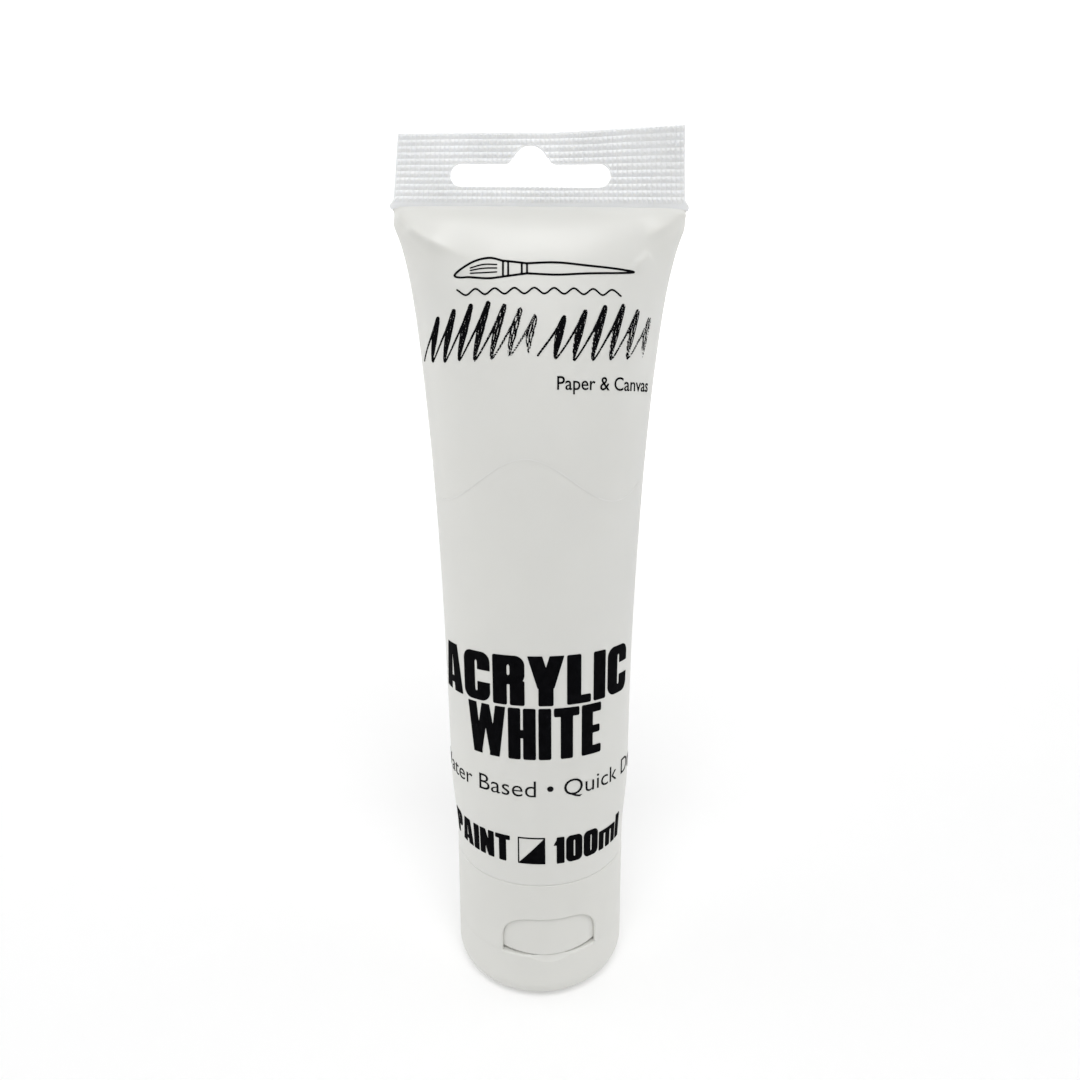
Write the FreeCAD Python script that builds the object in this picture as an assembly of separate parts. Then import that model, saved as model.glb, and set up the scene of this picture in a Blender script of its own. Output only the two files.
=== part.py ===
"""Flexible paint tube with a screw-on flip-top closure, standing on its lid. Millimetres, +Z up.

The origin is the centre of the lid's flat outer face. +Z runs along the tube to the welded fin,
+X runs along the fin, and the print faces -Y. Every piece is one solid in parts/NODE.step.
"""

import FreeCAD, Part
import math
import os

# ---- sleeve: a round tube, pressed flat and welded shut at its far end --------------------------
tube_diameter = 38.0        # round end of the sleeve, and the outside of the closure
sleeve_length = 137.5       # from the round end to the weld line
sleeve_wall = 0.5
flatten_start = 2.285       # how early the section starts to flatten (exponent along the length)
flatten_end = 0.414         # how bluntly it closes at the weld (exponent across the thickness)
weld_softness = 1.1         # length over which the section turns into the weld
waist_share = 0.064         # how much a part-full sleeve sinks in, once clear of the shoulder
waist_run = 9.7             # length over which it sinks in
sleeve_sections = 18        # sections that the sleeve is lofted through

# ---- fin: the flattened end beyond the weld, with its hanging slot ------------------------------
fin_side_draw = 1.4         # how much each side edge leans in towards the top
fin_height_left = 13.4      # the top is trimmed a little askew
fin_height_middle = 13.7
fin_height_right = 14.2
slot_length = 32.0          # standard hanging slot
slot_height = 4.5
slot_offset = -1.9          # from the middle of the fin
slot_above_weld = 3.6
hump_width = 7.0            # the taller middle of the slot, which sits over a hook
hump_height = 3.4
hump_fillet = 1.7

# ---- shoulder and threaded neck ----------------------------------------------------------------
shoulder_rim_height = 2.5   # band that the sleeve is bonded to
shoulder_thickness = 1.5
shoulder_drop = 4.2         # height of the cone between rim and neck
shoulder_land_inset = 0.1   # flat ring under the sleeve's end, carried on inside the closure's rim
neck_wall = 2.3
neck_bore_radius = 6.0
thread_pitch = 2.5
thread_turns = 2.0
thread_height = 0.9         # radial height of a ridge
thread_root_width = 1.4
thread_crest_width = 0.5
thread_lead_in = 1.6        # from the neck's rim to the first turn
thread_clearance = 0.3      # radial, between one ridge's crest and the other's root

# ---- foil seal ---------------------------------------------------------------------------------
foil_thickness = 0.15
foil_inset = 0.1            # foil edge, in from the neck's outside
foil_clearance = 0.05       # foil to the closure's seal bead

# ---- closure base ------------------------------------------------------------------------------
lid_height = 10.8           # the parting plane
base_height = 16.5          # parting plane to the closure's open rim
seam_gap = 0.2              # closure rim to the sleeve's end
closure_wall = 1.6
closure_turn = 5.7          # degrees about +Z: the closure stops a little past square with the print
edge_chamfer = 0.15         # on the open rim and the spout's mouth
deck_thickness = 1.8
plateau_height = 1.0        # how far the deck stands into the lid
plateau_clearance = 0.4     # radial, plateau to lid
collar_wall = 1.4
collar_height = 10.8        # above the deck
bead_width = 0.8            # seal bead, under the middle of the neck's rim
bead_height = 0.4
orifice_radius = 2.35
spout_height = 1.8
spout_wall = 1.25
recess_half_width = 9.8     # thumb recess over the front of the lid
recess_height = 8.4
recess_corner = 5.0
recess_depth = 0.4          # at its middle
recess_floor_radius = 16.8  # tighter than the outside, so the recess is deeper at its ends
recess_edge_fillet = 0.38
recess_wall = 1.3
gap_middle = 0.1            # gap between the recess's floor and the lid's rim
gap_end = 0.9
gap_depth = 0.8             # behind the floor

# ---- lid and living hinge ----------------------------------------------------------------------
lid_plate = 1.6
lid_edge_fillet = 4.15
parting_chamfer = 0.05      # on the lid's rim
lip_fillet = 0.4            # rounding of the lid's rim across the thumb recess
lip_flat_inset = 0.7        # sloping flat on the middle of the lip, at the parting plane
lip_flat_height = 1.4
pin_reach = 1.5             # how far the pin stands into the orifice
pin_clearance = 0.2         # radial, at the mouth of the orifice
pin_draft = 0.15            # the tip's radius is this much less for each mm of reach
pin_base_radius = 3.0
hinge_flat_depth = 0.9      # flat at the back that the hinge film lies on
hinge_flat_reach = 3.0      # above and below the parting plane
film_half_width = 4.5
film_reach = 1.6            # above and below the parting plane
film_thickness = 0.35

# ---- paint -------------------------------------------------------------------------------------
headspace = 42.8            # air between the paint and the weld
paint_clearance = 0.1       # paint to the walls around it

# ---- worked out from the values above ----------------------------------------------------------
tube_radius = tube_diameter / 2
rim_z = lid_height + base_height
seam_z = rim_z + seam_gap
shoulder_top_z = seam_z + shoulder_rim_height
weld_z = seam_z + sleeve_length
flatten_length = weld_z - shoulder_top_z

deck_bottom_z = lid_height - plateau_height
deck_top_z = deck_bottom_z + deck_thickness
bead_top_z = deck_top_z + bead_height
neck_rim_z = bead_top_z + foil_clearance + foil_thickness
neck_root_z = seam_z - shoulder_drop

neck_radius = neck_bore_radius + neck_wall
bead_radius = neck_bore_radius + neck_wall / 2
neck_thread_z = neck_rim_z + thread_lead_in
collar_bore_radius = neck_radius + thread_height + thread_clearance
collar_thread_z = neck_thread_z + thread_pitch / 2
base_bore_radius = tube_radius - closure_wall
plateau_radius = base_bore_radius - plateau_clearance
land_radius = base_bore_radius - shoulder_land_inset
spout_mouth_z = deck_bottom_z - spout_height
hinge_flat_y = tube_radius - hinge_flat_depth

Z = FreeCAD.Vector(0, 0, 1)
ORIGIN = FreeCAD.Vector(0, 0, 0)


def cylinder(radius, bottom, top):
    return Part.makeCylinder(radius, top - bottom, FreeCAD.Vector(0, 0, bottom))


def ring(outer, inner, bottom, top):
    return cylinder(outer, bottom, top).cut(cylinder(inner, bottom, top))


def cone(bottom_radius, top_radius, bottom, top):
    return Part.makeCone(bottom_radius, top_radius, top - bottom, FreeCAD.Vector(0, 0, bottom))


def box(x0, x1, y0, y1, z0, z1):
    return Part.makeBox(x1 - x0, y1 - y0, z1 - z0, FreeCAD.Vector(x0, y0, z0))


def revolved(points):
    """Solid of revolution about Z from (radius, height) points."""
    corners = [FreeCAD.Vector(radius, 0, height) for radius, height in points]
    outline = Part.makePolygon(corners + corners[:1])
    return Part.Face(outline).revolve(ORIGIN, Z, 360)


def circle_edges(solid, radius, height):
    """The full-circle edges of this radius that lie at this height."""
    found = []
    for edge in solid.Edges:
        if not isinstance(edge.Curve, Part.Circle):
            continue
        same_radius = abs(edge.Curve.Radius - radius) < 1e-6
        same_height = abs(edge.Curve.Center.z - height) < 1e-6
        if same_radius and same_height:
            found.append(edge)
    return found


def turned(solid):
    """Turns a closure piece from its own square position to where the thread stops it."""
    result = solid.copy()
    result.rotate(ORIGIN, Z, closure_turn)
    return result


# ---- sleeve sections ---------------------------------------------------------------------------
def ellipse_perimeter(a, b):
    h = ((a - b) / (a + b)) ** 2
    return math.pi * (a + b) * (1 + 3 * h / (10 + math.sqrt(4 - 3 * h)))


def half_width(half_thickness):
    """Half-width of the ellipse with this half-thickness and the round end's perimeter."""
    perimeter = 2 * math.pi * tube_radius
    low = tube_radius * 0.9
    high = perimeter / 4 + half_thickness
    for _ in range(50):
        middle = (low + high) / 2
        if ellipse_perimeter(middle, half_thickness) > perimeter:
            high = middle
        else:
            low = middle
    return (low + high) / 2


def half_thickness(z):
    """The sleeve's half-thickness: round at the shoulder, two walls thick at the weld."""
    below_weld = math.hypot(weld_z - z, weld_softness) - weld_softness
    full = math.hypot(flatten_length, weld_softness) - weld_softness
    closing = max(0.0, 1 - below_weld / full)
    swell = (1 - closing ** flatten_start) ** flatten_end
    waist = waist_share * (1 - math.exp(-((z - shoulder_top_z) / waist_run) ** 2))
    return sleeve_wall + (tube_radius - sleeve_wall) * swell * (1 - waist)


def section(z, inset):
    """Elliptical wire of the sleeve at height z, its surface moved in by inset."""
    b = half_thickness(z)
    a = half_width(b)
    curve = Part.Ellipse(FreeCAD.Vector(0, 0, z), a - inset, b - inset)
    return Part.Wire(curve.toShape())


def sleeve_body(bottom, top, inset):
    """Solid under the sleeve's surface moved in by inset, with its sections closest at both ends."""
    wires = []
    for i in range(sleeve_sections + 1):
        share = (1 - math.cos(math.pi * i / sleeve_sections)) / 2
        wires.append(section(bottom + (top - bottom) * share, inset))
    return Part.makeLoft(wires, True, False)


def slot_cutter():
    """The hanging slot: a long round-ended slot with a hump over its middle."""
    end_radius = slot_height / 2
    low = weld_z + slot_above_weld
    high = low + slot_height
    run = slot_length / 2 - end_radius
    hump_radius = hump_width / 2
    hump_z = high + hump_height - hump_radius
    depth = 4 * sleeve_wall

    def through(shape):
        return shape.extrude(FreeCAD.Vector(0, 2 * depth, 0))

    def disc(x, z, radius):
        centre = FreeCAD.Vector(slot_offset + x, -depth, z)
        circle = Part.Circle(centre, FreeCAD.Vector(0, 1, 0), radius)
        return through(Part.Face(Part.Wire(circle.toShape())))

    def block(x0, x1, z0, z1):
        return box(slot_offset + x0, slot_offset + x1, -depth, depth, z0, z1)

    cutter = block(-run, run, low, high)
    for side in (-1, 1):
        cutter = cutter.fuse(disc(side * run, low + end_radius, end_radius))
    cutter = cutter.fuse(block(-hump_radius, hump_radius, high - end_radius, hump_z))
    cutter = cutter.fuse(disc(0, hump_z, hump_radius))
    # concave corners where the hump meets the slot
    for side in (-1, 1):
        outer = side * (hump_radius + hump_fillet)
        corner = block(min(0, outer), max(0, outer), high - end_radius, high + hump_fillet)
        cutter = cutter.fuse(corner.cut(disc(outer, high + hump_fillet, hump_fillet)))
    return cutter


def fin():
    """Both walls welded into one plate, trimmed askew at the top and punched with the slot."""
    foot = half_width(sleeve_wall)
    head = foot - fin_side_draw
    foot_z = weld_z - 0.8 * sleeve_wall
    corners = [
        FreeCAD.Vector(-foot, -sleeve_wall, foot_z),
        FreeCAD.Vector(foot, -sleeve_wall, foot_z),
        FreeCAD.Vector(head, -sleeve_wall, weld_z + fin_height_right),
        FreeCAD.Vector(0, -sleeve_wall, weld_z + fin_height_middle),
        FreeCAD.Vector(-head, -sleeve_wall, weld_z + fin_height_left),
    ]
    outline = Part.makePolygon(corners + corners[:1])
    plate = Part.Face(outline).extrude(FreeCAD.Vector(0, 2 * sleeve_wall, 0))
    return plate.cut(slot_cutter())


def tube_sleeve():
    """Thin extruded sleeve: straight over the shoulder, then flattening up to the welded fin."""
    outside = sleeve_body(shoulder_top_z, weld_z, 0)
    inside = sleeve_body(shoulder_top_z, weld_z - sleeve_wall, sleeve_wall)
    collar = ring(tube_radius, tube_radius - sleeve_wall, seam_z, shoulder_top_z)
    return outside.fuse(fin()).cut(inside).fuse(collar)


# ---- thread ------------------------------------------------------------------------------------
def thread_ridge(root_radius, direction, start_z):
    """Right-hand helical ridge, standing outwards (direction 1) or inwards (-1) from a wall."""
    bury = 0.2
    foot = root_radius - direction * bury
    crest = root_radius + direction * thread_height
    half_root = thread_root_width / 2
    half_crest = thread_crest_width / 2
    helix = Part.makeHelix(thread_pitch, thread_pitch * thread_turns, root_radius)
    corners = [
        FreeCAD.Vector(foot, 0, -half_root),
        FreeCAD.Vector(crest, 0, -half_crest),
        FreeCAD.Vector(crest, 0, half_crest),
        FreeCAD.Vector(foot, 0, half_root),
    ]
    profile = Part.makePolygon(corners + corners[:1])
    ridge = Part.Wire(helix.Edges).makePipeShell([profile], True, True)
    ridge.translate(FreeCAD.Vector(0, 0, start_z))
    return ridge


def shoulder_neck():
    """Cone that closes the sleeve's round end and carries the threaded neck."""
    rim_radius = tube_radius - sleeve_wall
    slope = shoulder_drop / (land_radius - neck_radius)
    inner_z = neck_root_z - slope * (neck_radius - neck_bore_radius) + shoulder_thickness
    body = revolved([
        (neck_bore_radius, neck_rim_z),
        (neck_radius, neck_rim_z),
        (neck_radius, neck_root_z),
        (land_radius, seam_z),
        (rim_radius, seam_z),
        (rim_radius, shoulder_top_z),
        (land_radius, shoulder_top_z),
        (land_radius, seam_z + shoulder_thickness),
        (neck_bore_radius, inner_z),
    ])
    return body.fuse(thread_ridge(neck_radius, 1, neck_thread_z))


def foil_seal():
    """Disc over the neck's rim."""
    return cylinder(neck_radius - foil_inset, bead_top_z + foil_clearance, neck_rim_z)


def paint():
    """Paint settled on the shoulder, down the neck and up to its level in the sleeve."""
    slope = shoulder_drop / (land_radius - neck_radius)
    funnel_radius = land_radius - paint_clearance
    plug_radius = neck_bore_radius - paint_clearance
    floor_z = seam_z + shoulder_thickness + paint_clearance * 2
    throat_z = floor_z - slope * (land_radius - neck_bore_radius)
    charge_z = shoulder_top_z + paint_clearance
    funnel = revolved([
        (0, neck_rim_z + paint_clearance),
        (plug_radius, neck_rim_z + paint_clearance),
        (plug_radius, throat_z),
        (funnel_radius, floor_z),
        (funnel_radius, charge_z),
        (0, charge_z),
    ])
    return sleeve_body(charge_z, weld_z - headspace, sleeve_wall + paint_clearance).fuse(funnel)


# ---- closure -----------------------------------------------------------------------------------
def recess_outline(margin):
    """Prism of the thumb recess's outline, grown by margin, from the middle out past the front."""
    half = recess_half_width + margin
    top = lid_height + recess_height + margin
    corner = recess_corner + margin
    front = tube_radius + recess_depth
    prism = box(-half, half, -front, 0, deck_bottom_z, top)
    upright = [e for e in prism.Edges if abs(e.BoundBox.ZMin - top) < 1e-6 and e.BoundBox.XLength < 1e-6]
    return prism.makeFillet(corner, upright)


def behind_floor(depth):
    """Core that the recess's floor is wrapped round, with the floor moved back by depth."""
    radius = recess_floor_radius - depth
    centre = FreeCAD.Vector(0, recess_floor_radius - (tube_radius - recess_depth), 0)
    return Part.makeCylinder(radius, rim_z, centre)


def hinge_flat_cut():
    """Slab that cuts the hinge's flat into the back of both closure pieces."""
    return box(-tube_radius, tube_radius, hinge_flat_y, tube_radius + 1,
               lid_height - hinge_flat_reach, lid_height + hinge_flat_reach)


def recess_rim_edges(solid):
    """Edges where the thumb recess breaks through the outside of the skirt."""
    found = []
    for edge in solid.Edges:
        span = edge.LastParameter - edge.FirstParameter
        points = [edge.valueAt(edge.FirstParameter + span * share) for share in (0, 0.25, 0.5, 0.75, 1)]
        on_skirt = all(abs(math.hypot(p.x, p.y) - tube_radius) < 1e-4 for p in points)
        in_recess = all(p.y < 0 and abs(p.x) < recess_half_width + 1e-3 for p in points)
        highest = max(p.z for p in points)
        above_parting = lid_height + recess_edge_fillet < highest < rim_z - recess_edge_fillet
        if on_skirt and in_recess and above_parting:
            found.append(edge)
    return found


def above_lid():
    """The front half of the closure base's room."""
    return box(-tube_radius, tube_radius, -2 * tube_radius, 0, lid_height, rim_z)


def lid_gap():
    """Gap over the lid's rim, behind the recess's floor: lowest in its middle."""
    rise = gap_end - gap_middle
    arch_radius = (recess_half_width ** 2 + rise ** 2) / (2 * rise)
    centre = FreeCAD.Vector(0, -2 * tube_radius, lid_height + gap_middle + arch_radius)
    arch = Part.makeCylinder(arch_radius, 2 * tube_radius, centre, FreeCAD.Vector(0, 1, 0))
    low = box(-recess_half_width, recess_half_width, -2 * tube_radius, 0, lid_height, lid_height + gap_end)
    return low.cut(behind_floor(gap_depth)).cut(arch)


def outer_shell():
    """Skirt closed by the deck, with the thumb recess pressed into its front."""
    shell = cylinder(tube_radius, lid_height, rim_z).cut(cylinder(base_bore_radius, deck_top_z, rim_z))
    backing = recess_outline(recess_wall).common(cylinder(tube_radius - closure_wall / 2, lid_height, rim_z))
    shell = shell.fuse(backing.cut(behind_floor(recess_wall)))
    shell = shell.cut(recess_outline(0).cut(behind_floor(0)).common(above_lid()))
    shell = shell.makeFillet(recess_edge_fillet, recess_rim_edges(shell))
    shell = shell.makeChamfer(edge_chamfer, circle_edges(shell, tube_radius, rim_z))
    return shell.cut(lid_gap())


def closure_base():
    """Screw-on base: skirt, deck with spout, threaded collar, seal bead and thumb recess."""
    spout_radius = orifice_radius + spout_wall
    solid = outer_shell().fuse([
        cylinder(plateau_radius, deck_bottom_z, lid_height),
        cone(spout_radius - edge_chamfer, spout_radius, spout_mouth_z, deck_bottom_z),
        ring(collar_bore_radius + collar_wall, collar_bore_radius, deck_top_z, deck_top_z + collar_height),
        ring(bead_radius + bead_width / 2, bead_radius - bead_width / 2, deck_top_z, bead_top_z),
        thread_ridge(collar_bore_radius, -1, collar_thread_z),
    ])
    solid = solid.cut(cylinder(orifice_radius, spout_mouth_z, deck_top_z))
    return turned(solid.cut(hinge_flat_cut()))


def lip_rounding():
    """What the rounded lip takes off the lid's rim, across the width of the thumb recess."""
    centre = FreeCAD.Vector(0, 0, lid_height - lip_fillet)
    round_edge = Part.makeTorus(tube_radius - lip_fillet, lip_fillet, centre)
    corner = ring(tube_radius + 1, tube_radius - lip_fillet, lid_height - lip_fillet, lid_height + 1)
    front = box(-recess_half_width, recess_half_width, -2 * tube_radius, 0, 0, rim_z)
    return corner.cut(round_edge).common(front)


def lip_flat():
    """Wedge that cuts the sloping flat, so that the lip's middle runs straight."""
    start = FreeCAD.Vector(-recess_half_width, 0, 0)
    corners = [
        start + FreeCAD.Vector(0, -tube_radius, lid_height - lip_flat_height),
        start + FreeCAD.Vector(0, -tube_radius + lip_flat_inset, lid_height),
        start + FreeCAD.Vector(0, -tube_radius, lid_height),
    ]
    wedge = Part.Face(Part.makePolygon(corners + corners[:1]))
    return wedge.extrude(FreeCAD.Vector(2 * recess_half_width, 0, 0))


def lid():
    """Cup-shaped lid with the pin that plugs the orifice."""
    outside = cylinder(tube_radius, 0, lid_height)
    outside = outside.makeFillet(lid_edge_fillet, circle_edges(outside, tube_radius, 0))
    outside = outside.makeChamfer(parting_chamfer, circle_edges(outside, tube_radius, lid_height))
    inside = cylinder(base_bore_radius, lid_plate, lid_height)
    inner_fillet = max(lid_edge_fillet - closure_wall, closure_wall)
    inside = inside.makeFillet(inner_fillet, circle_edges(inside, base_bore_radius, lid_plate))
    mouth_radius = orifice_radius - pin_clearance
    tip_radius = mouth_radius - pin_draft * pin_reach
    stem = cone(pin_base_radius, mouth_radius, lid_plate, spout_mouth_z)
    tip = cone(mouth_radius, tip_radius, spout_mouth_z, spout_mouth_z + pin_reach)
    solid = outside.cut(inside).cut(lip_flat()).cut(lip_rounding())
    return turned(solid.fuse([stem, tip]).cut(hinge_flat_cut()))


def living_hinge():
    """Thin film across the parting plane at the back, bonded to the base and to the lid."""
    film = box(-film_half_width, film_half_width, hinge_flat_y, hinge_flat_y + film_thickness,
               lid_height - film_reach, lid_height + film_reach)
    return turned(film)


pieces = {
    "tube_sleeve": tube_sleeve,
    "shoulder_neck": shoulder_neck,
    "paint": paint,
    "foil_seal": foil_seal,
    "closure_base": closure_base,
    "living_hinge": living_hinge,
    "lid": lid,
}

os.makedirs("parts", exist_ok=True)
for name, make in pieces.items():
    make().removeSplitter().exportStep(os.path.join("parts", name + ".step"))
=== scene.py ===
"""Looks for the paint tube: the sleeve with its creases, waffle fin and print, moulded plastics, studio.

Millimetre values are turned into metres where a mesh is made. s is the distance round the sleeve from
the middle of its front, towards +X, and z is the height above the floor.
"""

import math

import bmesh
import bpy
import numpy as np
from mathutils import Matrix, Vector


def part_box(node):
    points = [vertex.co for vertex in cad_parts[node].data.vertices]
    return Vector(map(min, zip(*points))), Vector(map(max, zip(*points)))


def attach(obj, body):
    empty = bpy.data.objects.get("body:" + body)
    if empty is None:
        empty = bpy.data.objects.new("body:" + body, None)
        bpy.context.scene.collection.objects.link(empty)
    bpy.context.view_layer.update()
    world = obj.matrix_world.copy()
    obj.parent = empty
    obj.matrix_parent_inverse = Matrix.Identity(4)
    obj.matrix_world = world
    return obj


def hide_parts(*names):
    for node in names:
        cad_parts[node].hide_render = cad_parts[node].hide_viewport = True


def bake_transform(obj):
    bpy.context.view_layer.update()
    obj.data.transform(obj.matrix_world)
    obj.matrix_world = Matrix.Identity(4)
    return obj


MM = 0.001
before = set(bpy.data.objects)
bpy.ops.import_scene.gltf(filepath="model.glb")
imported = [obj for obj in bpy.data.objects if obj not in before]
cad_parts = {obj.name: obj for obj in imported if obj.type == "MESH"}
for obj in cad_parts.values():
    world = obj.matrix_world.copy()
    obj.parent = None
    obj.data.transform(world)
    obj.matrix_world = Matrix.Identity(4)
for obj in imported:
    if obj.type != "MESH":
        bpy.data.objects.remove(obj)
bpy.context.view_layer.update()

# ---- sizes shared with the CAD source -----------------------------------------------------------
SEAM_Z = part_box("tube_sleeve")[0].z / MM
TUBE_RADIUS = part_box("lid")[1].x / MM
PARTING_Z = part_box("lid")[1].z / MM
SLEEVE_LENGTH = 137.5
SHOULDER_RIM = 2.5
WALL = 0.5
FLATTEN_START = 2.285
FLATTEN_END = 0.414
WELD_SOFTNESS = 1.1
WAIST_SHARE = 0.064
WAIST_RUN = 9.7
SHOULDER_Z = SEAM_Z + SHOULDER_RIM
WELD_Z = SEAM_Z + SLEEVE_LENGTH
FIN_SIDE_DRAW = 1.4
FIN_TOP = (13.4, 13.7, 14.2)
SLOT_LENGTH = 32.0
SLOT_HEIGHT = 4.5
SLOT_OFFSET = -1.9
SLOT_ABOVE_WELD = 3.6
HUMP_WIDTH = 7.0
HUMP_HEIGHT = 3.4
HUMP_FILLET = 1.7
CLOSURE_TURN = math.radians(5.7)
HINGE_WIDTH = 9.0
HINGE_FLAT_INSET = 0.9
HINGE_FILM = 0.35
GIRTH = 2 * math.pi * TUBE_RADIUS

# ---- sleeve surface -----------------------------------------------------------------------------
HALVINGS = 50


def smooth(low, high, x):
    """Eased step from 0 at low to 1 at high."""
    t = np.clip((x - low) / (high - low), 0, 1)
    return t * t * (3 - 2 * t)


def half_thickness(z):
    """Half the sleeve's thickness, from the round shoulder to the flat weld."""
    below = np.hypot(WELD_Z - z, WELD_SOFTNESS) - WELD_SOFTNESS
    full = math.hypot(WELD_Z - SHOULDER_Z, WELD_SOFTNESS) - WELD_SOFTNESS
    closing = np.clip(1 - below / full, 0, 1)
    swell = (1 - closing ** FLATTEN_START) ** FLATTEN_END
    height = np.clip(z - SHOULDER_Z, 0, None)
    waist = WAIST_SHARE * (1 - np.exp(-(height / WAIST_RUN) ** 2))
    return WALL + (TUBE_RADIUS - WALL) * swell * (1 - waist)


def half_width(b):
    """Half width that keeps the ellipse's girth as its half thickness b shrinks, found by halving."""
    low = np.full_like(b, TUBE_RADIUS * 0.9)
    high = GIRTH / 4 + b
    for _ in range(HALVINGS):
        a = (low + high) / 2
        h = ((a - b) / (a + b)) ** 2
        around = math.pi * (a + b) * (1 + 3 * h / (10 + np.sqrt(4 - 3 * h)))
        low = np.where(around > GIRTH, low, a)
        high = np.where(around > GIRTH, a, high)
    return (low + high) / 2


TABLE_Z = WELD_Z - (WELD_Z - SHOULDER_Z) * np.linspace(1, 0, 400) ** 1.6
TABLE_B = half_thickness(TABLE_Z)
TABLE_A = half_width(TABLE_B)
QUARTER = np.linspace(0, 1, 200)


def _angles():
    """For each table height, the ellipse's angle at equal shares of a quarter of the girth."""
    t = np.linspace(0, math.pi / 2, 1500)
    rows = []
    for a, b in zip(TABLE_A, TABLE_B):
        x, y = a * np.sin(t), b * np.cos(t)
        run = np.concatenate([[0], np.cumsum(np.hypot(np.diff(x), np.diff(y)))])
        rows.append(np.interp(QUARTER, run / run[-1], t))
    return np.array(rows)


TABLE_T = _angles()


def bare_surface(s, z, inset=0.0):
    """Points of the undented sleeve at distance s round it and height z, in mm."""
    s, z = np.broadcast_arrays(np.asarray(s, float), np.asarray(z, float))
    s = (s + GIRTH / 2) % GIRTH - GIRTH / 2
    share = np.abs(s) / (GIRTH / 4)
    behind = share > 1
    folded = np.where(behind, 2 - share, share)
    row = np.interp(z, TABLE_Z, np.arange(len(TABLE_Z)))
    i = np.clip(row.astype(int), 0, len(TABLE_Z) - 2)
    f = row - i
    column = folded * (len(QUARTER) - 1)
    j = np.clip(column.astype(int), 0, len(QUARTER) - 2)
    g = column - j
    t = ((TABLE_T[i, j] * (1 - g) + TABLE_T[i, j + 1] * g) * (1 - f)
         + (TABLE_T[i + 1, j] * (1 - g) + TABLE_T[i + 1, j + 1] * g) * f)
    t = np.where(behind, math.pi - t, t) * np.where(s < 0, -1, 1)
    a = np.interp(z, TABLE_Z, TABLE_A) - inset
    b = np.interp(z, TABLE_Z, TABLE_B) - inset
    return np.stack([a * np.sin(t), -b * np.cos(t), z], -1)


def spline(knots, count=40):
    """Smooth line through knots; each knot holds any number of values."""
    k = np.asarray(knots, float)
    k = np.vstack([2 * k[0] - k[1], k, 2 * k[-1] - k[-2]])
    out = []
    for i in range(1, len(k) - 2):
        t = np.linspace(0, 1, count, endpoint=i == len(k) - 3)[:, None]
        a, b, c, d = k[i - 1], k[i], k[i + 1], k[i + 2]
        out.append(0.5 * (2 * b + (c - a) * t + (2 * a - 5 * b + 4 * c - d) * t ** 2
                          + (3 * b - a - 3 * c + d) * t ** 3))
    return np.vstack(out)


def fold(s, z, knots, height, above, below):
    """A fold pressed up along a line of (s, z) knots; it falls off over these distances each side."""
    line = spline(knots, 6)
    best = np.full(np.shape(s), 1e6)
    share = np.zeros(np.shape(s))
    side = np.zeros(np.shape(s))
    for i, ((s0, z0), (s1, z1)) in enumerate(zip(line[:-1], line[1:])):
        length = math.hypot(s1 - s0, z1 - z0)
        along = ((s - s0) * (s1 - s0) + (z - z0) * (z1 - z0)) / length ** 2
        clipped = np.clip(along, 0, 1)
        away = np.hypot(s - s0 - clipped * (s1 - s0), z - z0 - clipped * (z1 - z0))
        upper = ((z - z0) * (s1 - s0) - (s - s0) * (z1 - z0)) * math.copysign(1, s1 - s0)
        better = away < best
        best = np.where(better, away, best)
        share = np.where(better, (i + clipped) / (len(line) - 1), share)
        side = np.where(better, upper, side)
    reach = np.where(side > 0, above, below)
    soft = np.hypot(best, 0.3) - 0.3
    return height * np.exp(-soft / reach) * smooth(0, 0.12, share) * (1 - smooth(0.55, 1.0, share) * 0.9)


def blob(s, z, centre, height, reach_s, reach_z):
    """A round swelling, or a hollow where the height is negative."""
    return height * np.exp(-((s - centre[0]) / reach_s) ** 2 - ((z - centre[1]) / reach_z) ** 2)


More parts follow.
